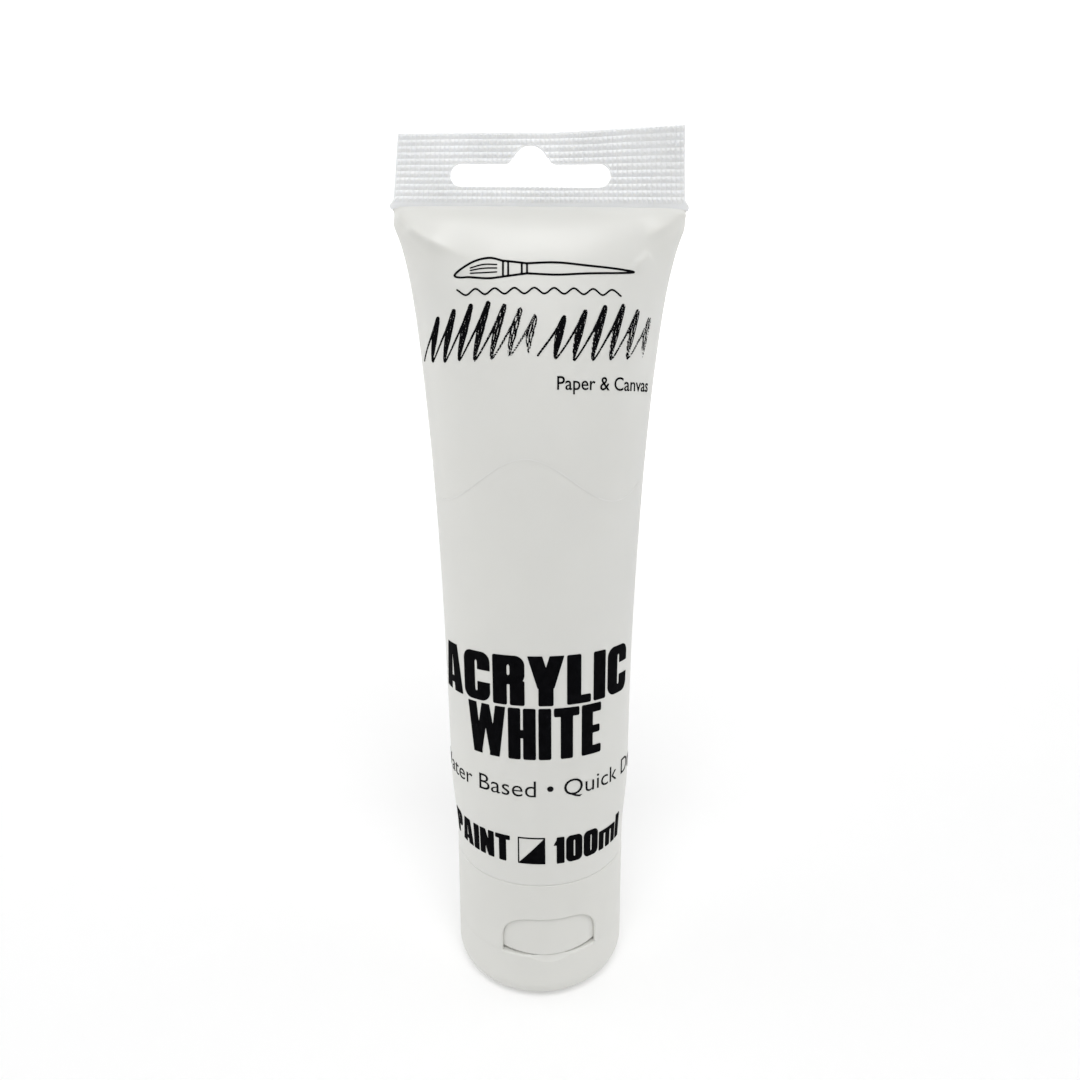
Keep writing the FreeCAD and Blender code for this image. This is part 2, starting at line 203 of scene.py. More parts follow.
def dents(s, z):
    """How far the handled sleeve stands off its smooth shape, in mm."""
    s = (np.asarray(s, float) + GIRTH / 2) % GIRTH - GIRTH / 2
    # the front's folds: a long one with a sharp crest at its left, and two at its right
    left = ((-29.6, 164.4), (-26.1, 160.5), (-24.0, 158.7), (-20.8, 156.7), (-17.7, 155.1), (-12.5, 152.6))
    d = fold(s, z, left, 1.3, 4.0, 2.2)
    d = d + fold(s, z, left[1:5], 0.3, 0.7, 0.7)
    d = d + fold(s, z, ((29.6, 164.8), (26.4, 161.8), (23.5, 159.7), (20.5, 158.2)), 0.9, 3.5, 2.4)
    d = d + fold(s, z, ((22.0, 155.2), (20.0, 153.4), (18.0, 151.6)), 0.4, 0.8, 1.0)
    # shallow hollows and swellings
    d = d + blob(s, z, (-15.7, 150.0), -0.28, 1.1, 0.8)
    d = d + blob(s, z, (-21.0, 145.0), -0.25, 6.0, 7.0)
    d = d + blob(s, z, (24.0, 148.0), -0.22, 5.0, 8.0)
    d = d + blob(s, z, (4.0, 156.0), 0.35, 14.0, 5.0)
    d = d + blob(s, z, (9.0, 112.0), 0.16, 9.0, 14.0)
    d = d + blob(s, z, (-12.0, 88.0), 0.18, 8.0, 16.0)
    # the plain back has its own folds, a few mm lower
    r = (s + GIRTH) % GIRTH - GIRTH / 2
    d = d + fold(r, z, ((-29.6, 163.6), (-25.0, 158.2), (-20.0, 154.6), (-14.0, 151.2)), 1.0, 5.0, 5.0)
    d = d + fold(r, z, ((29.6, 164.2), (25.2, 160.4), (19.0, 156.6), (13.0, 154.6)), 0.9, 5.0, 5.0)
    d = d + blob(r, z, (6.0, 141.0), -0.3, 10.0, 9.0)
    d = d + blob(r, z, (-8.0, 101.0), 0.2, 9.0, 15.0)
    # a faint bead over the shoulder's rim, and waves all over
    d = d + 0.07 * (1 - smooth(SHOULDER_Z + 0.3, SHOULDER_Z + 1.4, z))
    wave = np.sin(s / GIRTH * 6 * math.pi + z / 17.0) * np.sin(z / 23.0 + 1.0)
    d = d + 0.05 * wave
    firm_low = 0.2 + 0.8 * smooth(SHOULDER_Z, SHOULDER_Z + 12, z)
    return d * firm_low * (1 - smooth(WELD_Z - 1.6, WELD_Z, z))


def lean_back(z):
    """The filled tube's middle stands a little towards -X."""
    return -0.3 * np.sin(np.clip((z - SHOULDER_Z) / (WELD_Z - SHOULDER_Z), 0, 1) * math.pi)


def surface(s, z, lift=0.0):
    """Points of the handled sleeve's outside, lifted off it along its normal, in mm."""
    step = 0.2
    p = bare_surface(s, z)
    ds = bare_surface(np.asarray(s) + step, z) - bare_surface(np.asarray(s) - step, z)
    up = np.minimum(np.asarray(z, float) + step, WELD_Z)
    dz = bare_surface(s, up) - bare_surface(s, up - 2 * step)
    n = np.cross(ds, dz)
    n = n / np.linalg.norm(n, axis=-1, keepdims=True)
    q = p + n * (dents(np.asarray(s, float), np.asarray(z, float)) + lift)[..., None]
    q[..., 0] += lean_back(q[..., 2])
    return q


# ---- mesh helpers -------------------------------------------------------------------------------
def mesh_object(name, points, faces, material):
    """A mesh object from points in mm."""
    mesh = bpy.data.meshes.new(name)
    mesh.from_pydata((np.asarray(points, float) * MM).tolist(), [], [list(f) for f in faces])
    mesh.validate()
    bm = bmesh.new()
    bm.from_mesh(mesh)
    bmesh.ops.recalc_face_normals(bm, faces=bm.faces)
    bm.to_mesh(mesh)
    bm.free()
    for polygon in mesh.polygons:
        polygon.use_smooth = True
    mesh.materials.append(material)
    obj = bpy.data.objects.new(name, mesh)
    bpy.context.scene.collection.objects.link(obj)
    return obj


def sharpen(obj, degrees):
    obj.data.set_sharp_from_angle(angle=math.radians(degrees))


def sheet(name, front, back, wide, tall, mat):
    """A closed sheet from a front and a back grid of points, each wide by tall, row by row."""
    count = wide * tall
    faces = []
    for j in range(tall - 1):
        for i in range(wide - 1):
            k = j * wide + i
            faces.append((k, k + 1, k + wide + 1, k + wide))
            faces.append((count + k, count + k + wide, count + k + wide + 1, count + k + 1))
    rim = list(range(wide))
    rim += [j * wide + wide - 1 for j in range(1, tall)]
    rim += [(tall - 1) * wide + i for i in range(wide - 2, -1, -1)]
    rim += [j * wide for j in range(tall - 2, 0, -1)]
    for a, b in zip(rim, rim[1:] + rim[:1]):
        faces.append((a, count + a, count + b, b))
    return mesh_object(name, np.concatenate([front, back]), faces, mat)


# ---- materials ----------------------------------------------------------------------------------
def material(name):
    mat = bpy.data.materials.new(name)
    mat.use_nodes = True
    nodes, links = mat.node_tree.nodes, mat.node_tree.links
    return mat, nodes, links, nodes["Principled BSDF"]


def noise(nodes, links, scale, detail=2.0, stretch=(1, 1, 1)):
    """Noise in object space; scale is per metre."""
    coords = nodes.new("ShaderNodeTexCoord")
    mapping = nodes.new("ShaderNodeMapping")
    mapping.inputs["Scale"].default_value = stretch
    links.new(coords.outputs["Object"], mapping.inputs["Vector"])
    tex = nodes.new("ShaderNodeTexNoise")
    tex.inputs["Scale"].default_value = scale
    tex.inputs["Detail"].default_value = detail
    links.new(mapping.outputs["Vector"], tex.inputs["Vector"])
    return tex.outputs["Fac"]


def ramp(nodes, links, value, low, high, first, second):
    node = nodes.new("ShaderNodeValToRGB")
    node.color_ramp.elements[0].position = low
    node.color_ramp.elements[1].position = high
    node.color_ramp.elements[0].color = (*first, 1)
    node.color_ramp.elements[1].color = (*second, 1)
    links.new(value, node.inputs["Fac"])
    return node.outputs["Color"]


def span(nodes, links, value, low, high):
    node = nodes.new("ShaderNodeMapRange")
    node.inputs["To Min"].default_value = low
    node.inputs["To Max"].default_value = high
    links.new(value, node.inputs["Value"])
    return node.outputs["Result"]


def bump(nodes, links, value, strength, distance, under=None):
    node = nodes.new("ShaderNodeBump")
    node.inputs["Strength"].default_value = strength
    node.inputs["Distance"].default_value = distance
    links.new(value, node.inputs["Height"])
    if under is not None:
        links.new(under, node.inputs["Normal"])
    return node.outputs["Normal"]


def plastic(name, light, dark, rough, glow, grain, wave_height, specular=0.5, coat=0.0):
    """Moulded or extruded plastic: uneven whiteness, satin patches, fine grain over slow waves."""
    mat, nodes, links, shader = material(name)
    cloud = noise(nodes, links, 38, 3)
    links.new(ramp(nodes, links, cloud, 0.3, 0.75, dark, light), shader.inputs["Base Color"])
    patches = noise(nodes, links, 120, 4)
    links.new(span(nodes, links, patches, rough[0], rough[1]), shader.inputs["Roughness"])
    slow = bump(nodes, links, noise(nodes, links, 90, 1), 0.35, wave_height)
    fine = bump(nodes, links, noise(nodes, links, grain, 3), 0.25, wave_height / 6, slow)
    links.new(fine, shader.inputs["Normal"])
    shader.inputs["Subsurface Weight"].default_value = glow
    shader.inputs["Subsurface Radius"].default_value = (1.0, 0.95, 0.85)
    shader.inputs["Subsurface Scale"].default_value = 0.0015
    shader.inputs["Specular IOR Level"].default_value = specular
    shader.inputs["Coat Weight"].default_value = coat
    shader.inputs["Coat Roughness"].default_value = 0.2
    return mat


sleeve_plastic = plastic("sleeve_plastic", (0.695, 0.695, 0.664), (0.665, 0.665, 0.636), (0.34, 0.5),
                         0.15, 1400, 0.00012, 0.45, 0.08)
# The fin is the same plastic as the sleeve. Its paler, cooler colour is painted light: it stands in for the
# backlight that shines through the thin fin.
fin_plastic_painted_backlight = plastic("fin_plastic_painted_backlight", (0.785, 0.795, 0.805), (0.745, 0.755, 0.765), (0.28, 0.42),
                      0.35, 1800, 0.00005, 0.5, 0.1)
closure_plastic = plastic("closure_plastic", (0.69, 0.69, 0.658), (0.66, 0.66, 0.63), (0.4, 0.55),
                          0.12, 2600, 0.00008)
shoulder_plastic = plastic("shoulder_plastic", (0.84, 0.84, 0.82), (0.78, 0.78, 0.76), (0.42, 0.6),
                           0.2, 900, 0.0001)


def paint_material():
    mat, nodes, links, shader = material("acrylic_paint")
    cloud = noise(nodes, links, 60, 3)
    links.new(ramp(nodes, links, cloud, 0.3, 0.8, (0.86, 0.86, 0.84), (0.92, 0.92, 0.9)),
              shader.inputs["Base Color"])
    links.new(span(nodes, links, noise(nodes, links, 200, 2), 0.12, 0.3), shader.inputs["Roughness"])
    ripples = bump(nodes, links, noise(nodes, links, 260, 2), 0.5, 0.0003)
    links.new(ripples, shader.inputs["Normal"])
    shader.inputs["Subsurface Weight"].default_value = 0.1
    shader.inputs["Subsurface Scale"].default_value = 0.001
    return mat


def foil_material():
    mat, nodes, links, shader = material("rolled_foil")
    lines = noise(nodes, links, 900, 3, (0.06, 1, 1))
    links.new(ramp(nodes, links, lines, 0.3, 0.7, (0.66, 0.66, 0.68), (0.8, 0.8, 0.81)),
              shader.inputs["Base Color"])
    links.new(span(nodes, links, lines, 0.22, 0.42), shader.inputs["Roughness"])
    crinkle = bump(nodes, links, noise(nodes, links, 500, 2), 0.3, 0.00015)
    links.new(crinkle, shader.inputs["Normal"])
    shader.inputs["Metallic"].default_value = 1.0
    return mat


def ink_material(name, first, second):
    mat, nodes, links, shader = material(name)
    cover = noise(nodes, links, 700, 4)
    links.new(ramp(nodes, links, cover, 0.35, 0.8, first, second), shader.inputs["Base Color"])
    links.new(span(nodes, links, noise(nodes, links, 300, 2), 0.78, 0.9), shader.inputs["Roughness"])
    links.new(bump(nodes, links, cover, 0.2, 0.00003), shader.inputs["Normal"])
    shader.inputs["Specular IOR Level"].default_value = 0.03
    return mat


black_ink = ink_material("black_ink", (0.0015, 0.0015, 0.002), (0.004, 0.004, 0.005))
thin_ink = ink_material("thin_ink", (0.006, 0.006, 0.007), (0.012, 0.012, 0.013))
tint_ink = ink_material("tint_ink", (0.7, 0.7, 0.68), (0.74, 0.74, 0.72))

for node, mat in {"closure_base": closure_plastic, "lid": closure_plastic, "shoulder_neck": shoulder_plastic,
                  "foil_seal": foil_material(), "paint": paint_material()}.items():
    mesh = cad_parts[node].data
    mesh.materials.clear()
    mesh.materials.append(mat)


# ---- sleeve wall --------------------------------------------------------------------------------
def sleeve_wall():
    """The tube's own wall: dented outside, plain inside, open at the shoulder and closed at the weld."""
    around = 240
    s = np.arange(around) * GIRTH / around
    inner_top = WELD_Z - 1.4
    coarse, fine = 0.9, 0.45
    pinch = WELD_Z - 7
    low = np.arange(SHOULDER_Z - 1.7, WELD_Z - 22, coarse)
    high = np.arange(low[-1] + fine, pinch, fine)
    heights = np.concatenate([low, high, np.linspace(pinch, WELD_Z, 28)])
    rings = []
    # rounded lower edge
    bottom = SEAM_Z - 0.19
    edge_radius = 0.22
    for turn in (0.0, 0.2, 0.4, 0.6, 0.8, 1.0):
        angle = turn * math.pi / 2
        inset = edge_radius * (1 - math.sin(angle))
        z = bottom + edge_radius * (1 - math.cos(angle))
        ring = surface(s, np.full(around, SHOULDER_Z), -inset)
        ring[:, 2] = z
        rings.append(ring)
    for z in heights:
        rings.append(surface(s, np.full(around, z)))
        rings[-1][:, 2] = z
    outer_count = len(rings)
    for z in np.linspace(inner_top, SHOULDER_Z, 30):
        rings.append(bare_surface(s, np.full(around, z), WALL))
    rings.append(bare_surface(s, np.full(around, SHOULDER_Z), WALL) * (1, 1, 0) + (0, 0, bottom))
    points = np.concatenate(rings)
    faces = []

    def bridge(first, second):
        for k in range(around):
            m = (k + 1) % around
            faces.append((first * around + k, first * around + m, second * around + m, second * around + k))

    for r in range(outer_count - 1):
        bridge(r, r + 1)
    for r in range(outer_count, len(rings) - 1):
        bridge(r, r + 1)
    bridge(len(rings) - 1, 0)

    def close(ring):
        half, quarter = around // 2, around // 4
        for k in range(-quarter, quarter):
            a, b = k % around, (k + 1) % around
            c, d = (half - k - 1) % around, (half - k) % around
            corners = [ring * around + v for v in (a, b, c, d)]
            unique = list(dict.fromkeys(corners))
            if len(unique) > 2:
                faces.append(unique)

    close(outer_count - 1)
    close(outer_count)
    obj = mesh_object("sleeve_wall", points, faces, sleeve_plastic)
    sharpen(obj, 50)
    return obj


# ---- fin ----------------------------------------------------------------------------------------
def arc(cx, cz, radius, start, end, count=12):
    angles = np.radians(np.linspace(start, end, count))
    return [(cx + radius * math.cos(a), cz + radius * math.sin(a)) for a in angles]


def slot_outline():
    r = SLOT_HEIGHT / 2
    low = WELD_Z + SLOT_ABOVE_WELD
    high = low + SLOT_HEIGHT
    run = SLOT_LENGTH / 2 - r
    hump = HUMP_WIDTH / 2
    hump_z = high + HUMP_HEIGHT - hump
    points = arc(run, low + r, r, -90, 90)
    points += arc(hump + HUMP_FILLET, high + HUMP_FILLET, HUMP_FILLET, 270, 200, 8)
    points += arc(0, hump_z, hump, 25, 155, 18)
    points += arc(-hump - HUMP_FILLET, high + HUMP_FILLET, HUMP_FILLET, -20, -90, 8)
    points += arc(-run, low + r, r, 90, 270)
    return [(x + SLOT_OFFSET, z) for x, z in points]


def fin_lean(x, z):
    """The fin's right-hand top corner curls forwards and its left one a little back."""
    rise = np.clip((z - WELD_Z) / FIN_TOP[2], 0, 1.1) ** 1.4
    side = x / (GIRTH / 4)
    return rise * (-2.9 * smooth(0.05, 1.0, side) + 0.5 * smooth(0.2, 1.0, -side) - 0.35)


def sleeve_fin():
    """The weld's waffle-embossed fin with its hanging slot."""
    columns, rows, fine = 60, 12, 4
    foot = TABLE_A[-1]
    overlap = 0.5
    foot_z = WELD_Z - overlap
    u = np.linspace(-1, 1, columns * fine + 1)
    v = np.linspace(0, 1, rows * fine + 1)
    uu, vv = np.meshgrid(u, v)
    top = WELD_Z + np.interp(uu, (-1, 0, 1), FIN_TOP)
    # small ears at the weld's ends
    ears = 0.45 * np.exp(-((vv - 0.05) / 0.05) ** 2)
    x = uu * (foot - FIN_SIDE_DRAW * vv - 0.35 * smooth(0, 0.15, vv) + ears)
    z = foot_z + vv * (top - foot_z)
    du = np.abs((np.arange(len(u)) % fine) / (fine / 2) - 1)
    dv = np.abs((np.arange(len(v)) % fine) / (fine / 2) - 1)
    # bumps in rows, thinner on the plain strip above the weld and along the fin's borders
    pyramid = 1 - np.maximum(du[None, :], dv[:, None])
    rib = (1 - dv[:, None]) * np.ones_like(uu)
    uneven = 0.8 + 0.2 * np.sin(uu * 9.0 + 1.3) * np.sin(vv * 5.0 + 0.4)
    waffle = (0.24 * pyramid + 0.1 * rib) * uneven
    plain = (vv < 0.085) | (np.abs(uu) > 0.985)
    thick = np.where(plain, WALL - 0.1, WALL - 0.12 + waffle)
    thick[:, 0] = thick[:, -1] = thick[-1, :] = WALL - 0.2
    front = np.stack([x, -thick, z], -1).reshape(-1, 3)
    back = np.stack([x, thick, z], -1).reshape(-1, 3)
    # the fin's material carries painted backlight in its paler, cooler colour
    obj = sheet("sleeve_fin", front, back, len(u), len(v), fin_plastic_painted_backlight)

    outline = slot_outline()
    n = len(outline)
    deep = 3.0
    prism = [(px, -deep, pz) for px, pz in outline] + [(px, deep, pz) for px, pz in outline]
    sides = [(i, (i + 1) % n, n + (i + 1) % n, n + i) for i in range(n)]
    ends = [tuple(range(n)), tuple(range(2 * n - 1, n - 1, -1))]
    cutter = mesh_object("cutter", prism, sides + ends, fin_plastic_painted_backlight)
    cut = obj.modifiers.new("slot", "BOOLEAN")
    cut.operation = "DIFFERENCE"
    cut.solver = "EXACT"
    cut.object = cutter
    bpy.context.view_layer.update()
    made = bpy.data.meshes.new_from_object(obj.evaluated_get(bpy.context.evaluated_depsgraph_get()))
    obj.modifiers.clear()
    obj.data = made
    bpy.data.objects.remove(cutter)
    for vertex in made.vertices:
        vx, vz = vertex.co.x / MM, vertex.co.z / MM
        vertex.co.y += float(fin_lean(vx, vz)) * MM
    for polygon in made.polygons:
        polygon.use_smooth = False
    return obj


wall = sleeve_wall()
fin = sleeve_fin()
for piece in (wall, fin):
    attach(piece, "tube")
    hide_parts("tube_sleeve")


# ---- living hinge film --------------------------------------------------------------------------
def hinge_film():
    """Thin strip across the parting plane, thinnest where it bends."""
    low, high = (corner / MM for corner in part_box("living_hinge"))
    half = HINGE_WIDTH / 2
    flat = TUBE_RADIUS - HINGE_FLAT_INSET
    across = np.linspace(-half, half, 25)
    up = np.linspace(low.z, high.z, 33)
    xx, zz = np.meshgrid(across, up)
    groove = 0.16 * np.exp(-((zz - PARTING_Z) / 0.35) ** 2)
    edge = 0.1 * (np.exp(-((half - np.abs(xx)) / 0.15) ** 2))
    outer = flat + HINGE_FILM - groove - edge
    inner = np.full_like(outer, flat)
    c, s = math.cos(CLOSURE_TURN), math.sin(CLOSURE_TURN)
    turned = np.array([[c, s, 0], [-s, c, 0], [0, 0, 1]])
    inside, outside = (np.stack([xx, depth, zz], -1).reshape(-1, 3) @ turned for depth in (inner, outer))
    obj = sheet("hinge_film", inside, outside, len(across), len(up), closure_plastic)
    sharpen(obj, 50)
    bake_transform(obj)
    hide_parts("living_hinge")


hinge_film()


# ---- print --------------------------------------------------------------------------------------
def contour_mesh(field, xs, ys):
    """Polygons of the region where the field is negative, with its edge placed between grid points."""
    index, points, faces = {}, [], []

    def vertex(key, x, y):
        if key not in index:
            index[key] = len(points)
            points.append((x, y))
        return index[key]

    inside = field < 0
    touched = inside[:-1, :-1] | inside[1:, :-1] | inside[:-1, 1:] | inside[1:, 1:]
    for j, i in zip(*np.nonzero(touched)):
        corners = ((j, i), (j, i + 1), (j + 1, i + 1), (j + 1, i))
        ring = []
        for n in range(4):
            p, q = corners[n], corners[(n + 1) % 4]
            fp, fq = field[p], field[q]
            if fp < 0:
                ring.append(vertex(p, xs[p[1]], ys[p[0]]))
            if (fp < 0) != (fq < 0):
                share = fp / (fp - fq)
                key = (min(p, q), max(p, q))
                ring.append(vertex(key, xs[p[1]] + (xs[q[1]] - xs[p[1]]) * share,
                                   ys[p[0]] + (ys[q[0]] - ys[p[0]]) * share))
        if len(ring) > 2:
            faces.append(ring)
    return np.array(points), faces


def ink(name, points, faces, mat, lift=0.05):
    """A thin closed layer of ink wrapped on the sleeve, from flat (s, z) points."""
    points = np.asarray(points, float)
    s, z = points[:, 0], points[:, 1]
    solid = np.concatenate([surface(s, z, lift), surface(s, z, -0.02)])
    count = len(points)
    used = {}
    for face in faces:
        for edge in zip(face, list(face[1:]) + [face[0]]):
            used[edge] = True
    border = [(a, b) for (a, b) in used if (b, a) not in used]
    all_faces = [tuple(f) for f in faces] + [tuple(count + v for v in reversed(f)) for f in faces]
    all_faces += [(b, a, count + a, count + b) for a, b in border]
    obj = mesh_object(name, solid, all_faces, mat)
    sharpen(obj, 40)
    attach(obj, "tube")
    return obj


def grid(x0, x1, y0, y1, step):
    xs = np.arange(x0, x1 + step, step)
    ys = np.arange(y0, y1 + step, step)
    xx, yy = np.meshgrid(xs, ys)
    return xs, ys, xx, yy


def slab(x, y, x0, x1, y0, y1, r=0.0):
    dx = np.abs(x - (x0 + x1) / 2) - (x1 - x0) / 2 + r
    dy = np.abs(y - (y0 + y1) / 2) - (y1 - y0) / 2 + r
    return np.hypot(np.maximum(dx, 0), np.maximum(dy, 0)) + np.minimum(np.maximum(dx, dy), 0) - r


def bar(x, y, x0, y0, x1, y1, width):
    """Sloping stroke with level ends."""
    middle = x0 + (x1 - x0) * (y - y0) / (y1 - y0)
    slope = math.hypot(x1 - x0, y1 - y0) / abs(y1 - y0)
    return np.maximum((np.abs(x - middle) - width * slope / 2) / slope,
                      np.maximum(min(y0, y1) - y, y - max(y0, y1)))


STEM, BEAM, SOFT = 0.3, 0.17, 0.035
LETTER_GAP = 0.062
CAP_HEIGHT = 0.73


def glyph(letter, x, y):
    """Heavy condensed letter, one unit high: its field and its width."""
    st, be, r = STEM, BEAM, SOFT

    def box(x0, x1, y0, y1, corner=r):
        return slab(x, y, x0, x1, y0, y1, corner)

    def loop(w, y0, y1):
        return np.maximum(box(0, w, y0, y1, 0.2), -box(st, w - st, y0 + be, y1 - be, 0.06))

    w = 0.66
    if letter == "I" or letter == "l":
        return box(0, st, 0, 1), st
    if letter == "H":
        return np.minimum(np.minimum(box(0, st, 0, 1), box(w - st, w, 0, 1)), box(0, w, 0.42, 0.58)), w
    if letter == "T":
        post = box(w / 2 - st / 2 - 0.02, w / 2 + st / 2 - 0.02, 0, 1)
        return np.minimum(box(0, w - 0.04, 1 - be, 1), post), w - 0.04
    if letter == "L":
        return np.minimum(box(0, st, 0, 1), box(0, 0.52, 0, be)), 0.52
    if letter == "E":
        beams = [box(0, 0.54, 0, be), box(0, 0.5, 0.42, 0.57), box(0, 0.54, 1 - be, 1)]
        return np.minimum.reduce([box(0, st, 0, 1)] + beams), 0.54
    if letter == "C":
        shape = loop(w, 0, 1)
        gap = box(w / 2, w + 0.1, 0.385, 0.63, 0)
        return np.maximum(shape, -gap), w
    if letter == "0":
        return loop(w, 0, 1), w
    if letter == "P":
        return np.minimum(box(0, st, 0, 1), loop(w, 0.38, 1)), w
    if letter == "R":
        return np.minimum.reduce([box(0, st, 0, 1), loop(w, 0.42, 1), box(w - st, w, 0, 0.5)]), w
    if letter == "A":
        w = 0.74
        half = w / 2 - (w / 2 - 0.2) * y
        outer = np.maximum(np.abs(x - w / 2) - half, np.maximum(-y, y - 1))
        void = np.abs(x - w / 2) - (w / 2 - st) * (1 - y / 0.84)
        beam = np.maximum(outer, np.abs(y - 0.235) - 0.07)
        return np.minimum(np.maximum(outer, -void), beam), w
    if letter == "Y":
        w = 0.72
        arms = [bar(x, y, w / 2 - 0.02, 0.36, st / 2 - 0.01, 1, st * 0.94),
                bar(x, y, w / 2 + 0.02, 0.36, w - st / 2 + 0.01, 1, st * 0.94)]
        return np.minimum.reduce(arms + [box(w / 2 - st / 2, w / 2 + st / 2, 0, 0.52)]), w
    if letter == "N":
        w += 0.02
        parts = [box(0, st * 0.9, 0, 1), box(w - st * 0.9, w, 0, 1),
                 bar(x, y, st * 0.5, 1, w - st * 0.5, 0, st * 0.75)]
        return np.minimum.reduce(parts), w
    if letter == "W":
        w = 1.04
        t = st * 0.86
        feet = (0.29, w - 0.29)
        parts = [bar(x, y, t / 2, 1, feet[0], 0, t), bar(x, y, w / 2, 1, feet[0], 0, t * 0.8),
                 bar(x, y, w / 2, 1, feet[1], 0, t * 0.8), bar(x, y, w - t / 2, 1, feet[1], 0, t)]
        return np.minimum.reduce(parts), w
    if letter == "1":
        return np.minimum(box(0.12, 0.12 + st, 0, 1), bar(x, y, 0.1, 0.7, 0.26, 0.97, 0.17)), 0.12 + st
    if letter == "m":
        w, top = 1.0, 0.76
        parts = [box(0, st * 0.9, 0, top), box(w / 2 - st * 0.45, w / 2 + st * 0.45, 0, top, 0.05),
                 box(w - st * 0.9, w, 0, top - 0.06), box(0.05, w, top - 0.15, top, 0.07)]
        return np.minimum.reduce(parts), w
    return None, 0.3


def heavy_word(name, word, x0, x1, y0, y1, step):
    """A word in heavy condensed letters that fills the box."""
    height = y1 - y0
    widths = [glyph(c, np.zeros(1), np.zeros(1))[1] for c in word]
    natural = sum(widths) + LETTER_GAP * (len(word) - 1)
    stretch = (x1 - x0) / (natural * height)
    xs, ys, xx, yy = grid(x0 - 3 * step, x1 + 3 * step, y0 - 3 * step, y1 + 3 * step, step)
    field = np.full(xx.shape, 9.0)
    at = 0.0
    for letter, width in zip(word, widths):
        shape, _ = glyph(letter, (xx - x0) / (height * stretch) - at, (yy - y0) / height)
        if shape is not None:
            field = np.minimum(field, shape)
        at += width + LETTER_GAP
    points, faces = contour_mesh(field, xs, ys)
    return ink(name, points, faces, black_ink)


def font_line(name, text, x0, x1, baseline, mat, bold, height):
    """A line in the built-in plain letters, stretched to lie between x0 and x1."""
    curve = bpy.data.curves.new(name, "FONT")
    curve.body = text
    curve.size = 1.0
    curve.offset = bold
    curve.resolution_u = 4
    holder = bpy.data.objects.new("holder", curve)
    bpy.context.scene.collection.objects.link(holder)
    bpy.context.view_layer.update()
    mesh = bpy.data.meshes.new_from_object(holder.evaluated_get(bpy.context.evaluated_depsgraph_get()))
    bpy.data.objects.remove(holder)
    bm = bmesh.new()
    bm.from_mesh(mesh)
    xs = [v.co.x for v in bm.verts]
    scale = (x1 - x0) / (max(xs) - min(xs))
    tall = height / CAP_HEIGHT
    left = min(xs)
    for v in bm.verts:
        v.co = Vector((x0 + (v.co.x - left) * scale, baseline + v.co.y * tall, 0))
    step = 1.0
    for axis, low, high in ((0, x0, x1), (1, baseline - tall, baseline + tall)):
        for cut in np.arange(low + step, high, step):
            at = Vector((cut, 0, 0)) if axis == 0 else Vector((0, cut, 0))
            normal = Vector((1, 0, 0)) if axis == 0 else Vector((0, 1, 0))
            everything = bm.verts[:] + bm.edges[:] + bm.faces[:]
            bmesh.ops.bisect_plane(bm, geom=everything, plane_co=at, plane_no=normal)
    bmesh.ops.remove_doubles(bm, verts=bm.verts, dist=1e-4)
    bmesh.ops.recalc_face_normals(bm, faces=bm.faces)
    points = [(v.co.x, v.co.y) for v in bm.verts]
    bm.verts.index_update()
    faces = [[v.index for v in f.verts] for f in bm.faces]
    bm.free()
    return ink(name, points, faces, mat)


def stroke_field(xx, yy, line, dry=0.0, seed=0.0):
    """Field of a brush stroke along (x, y, half width) samples, with streaks where the brush ran dry."""
    best = np.full(xx.shape, 9.0)
    side = np.zeros(xx.shape)
    run_at = np.zeros(xx.shape)
    run = 0.0
    for (ax, ay, aw), (bx, by, bw) in zip(line[:-1], line[1:]):
        length = math.hypot(bx - ax, by - ay)
        if length < 1e-9:
            continue
        tx, ty = (bx - ax) / length, (by - ay) / length
        reach = max(aw, bw) + 1.0
        near = ((xx > min(ax, bx) - reach) & (xx < max(ax, bx) + reach)
                & (yy > min(ay, by) - reach) & (yy < max(ay, by) + reach))
        px, py = xx[near] - ax, yy[near] - ay
        along = np.clip(px * tx + py * ty, 0, length)
        across = px * ty - py * tx
        width = aw + (bw - aw) * along / length
        value = np.hypot(px - along * tx, py - along * ty) - width
        better = value < best[near]
        spot = np.nonzero(near)
        rows, cols = spot[0][better], spot[1][better]
        best[rows, cols] = value[better]
        side[rows, cols] = (across / np.maximum(width, 0.05))[better]
        run_at[rows, cols] = (run + along)[better]
        run += length
    if dry > 0:
        streak = (np.sin(side * 9 + seed + 0.35 * np.sin(run_at * 1.1))
                  + 0.8 * np.sin(side * 17 + seed * 2.3 + run_at * 0.25)
                  + 0.5 * np.sin(run_at * 2.7 + side * 5 + seed))
        share = smooth(0.45, 1.0, run_at / max(run, 1e-6)) * dry
        best = np.maximum(best, (share * 2.6 - 1.3 - streak) * 0.09)
    return best


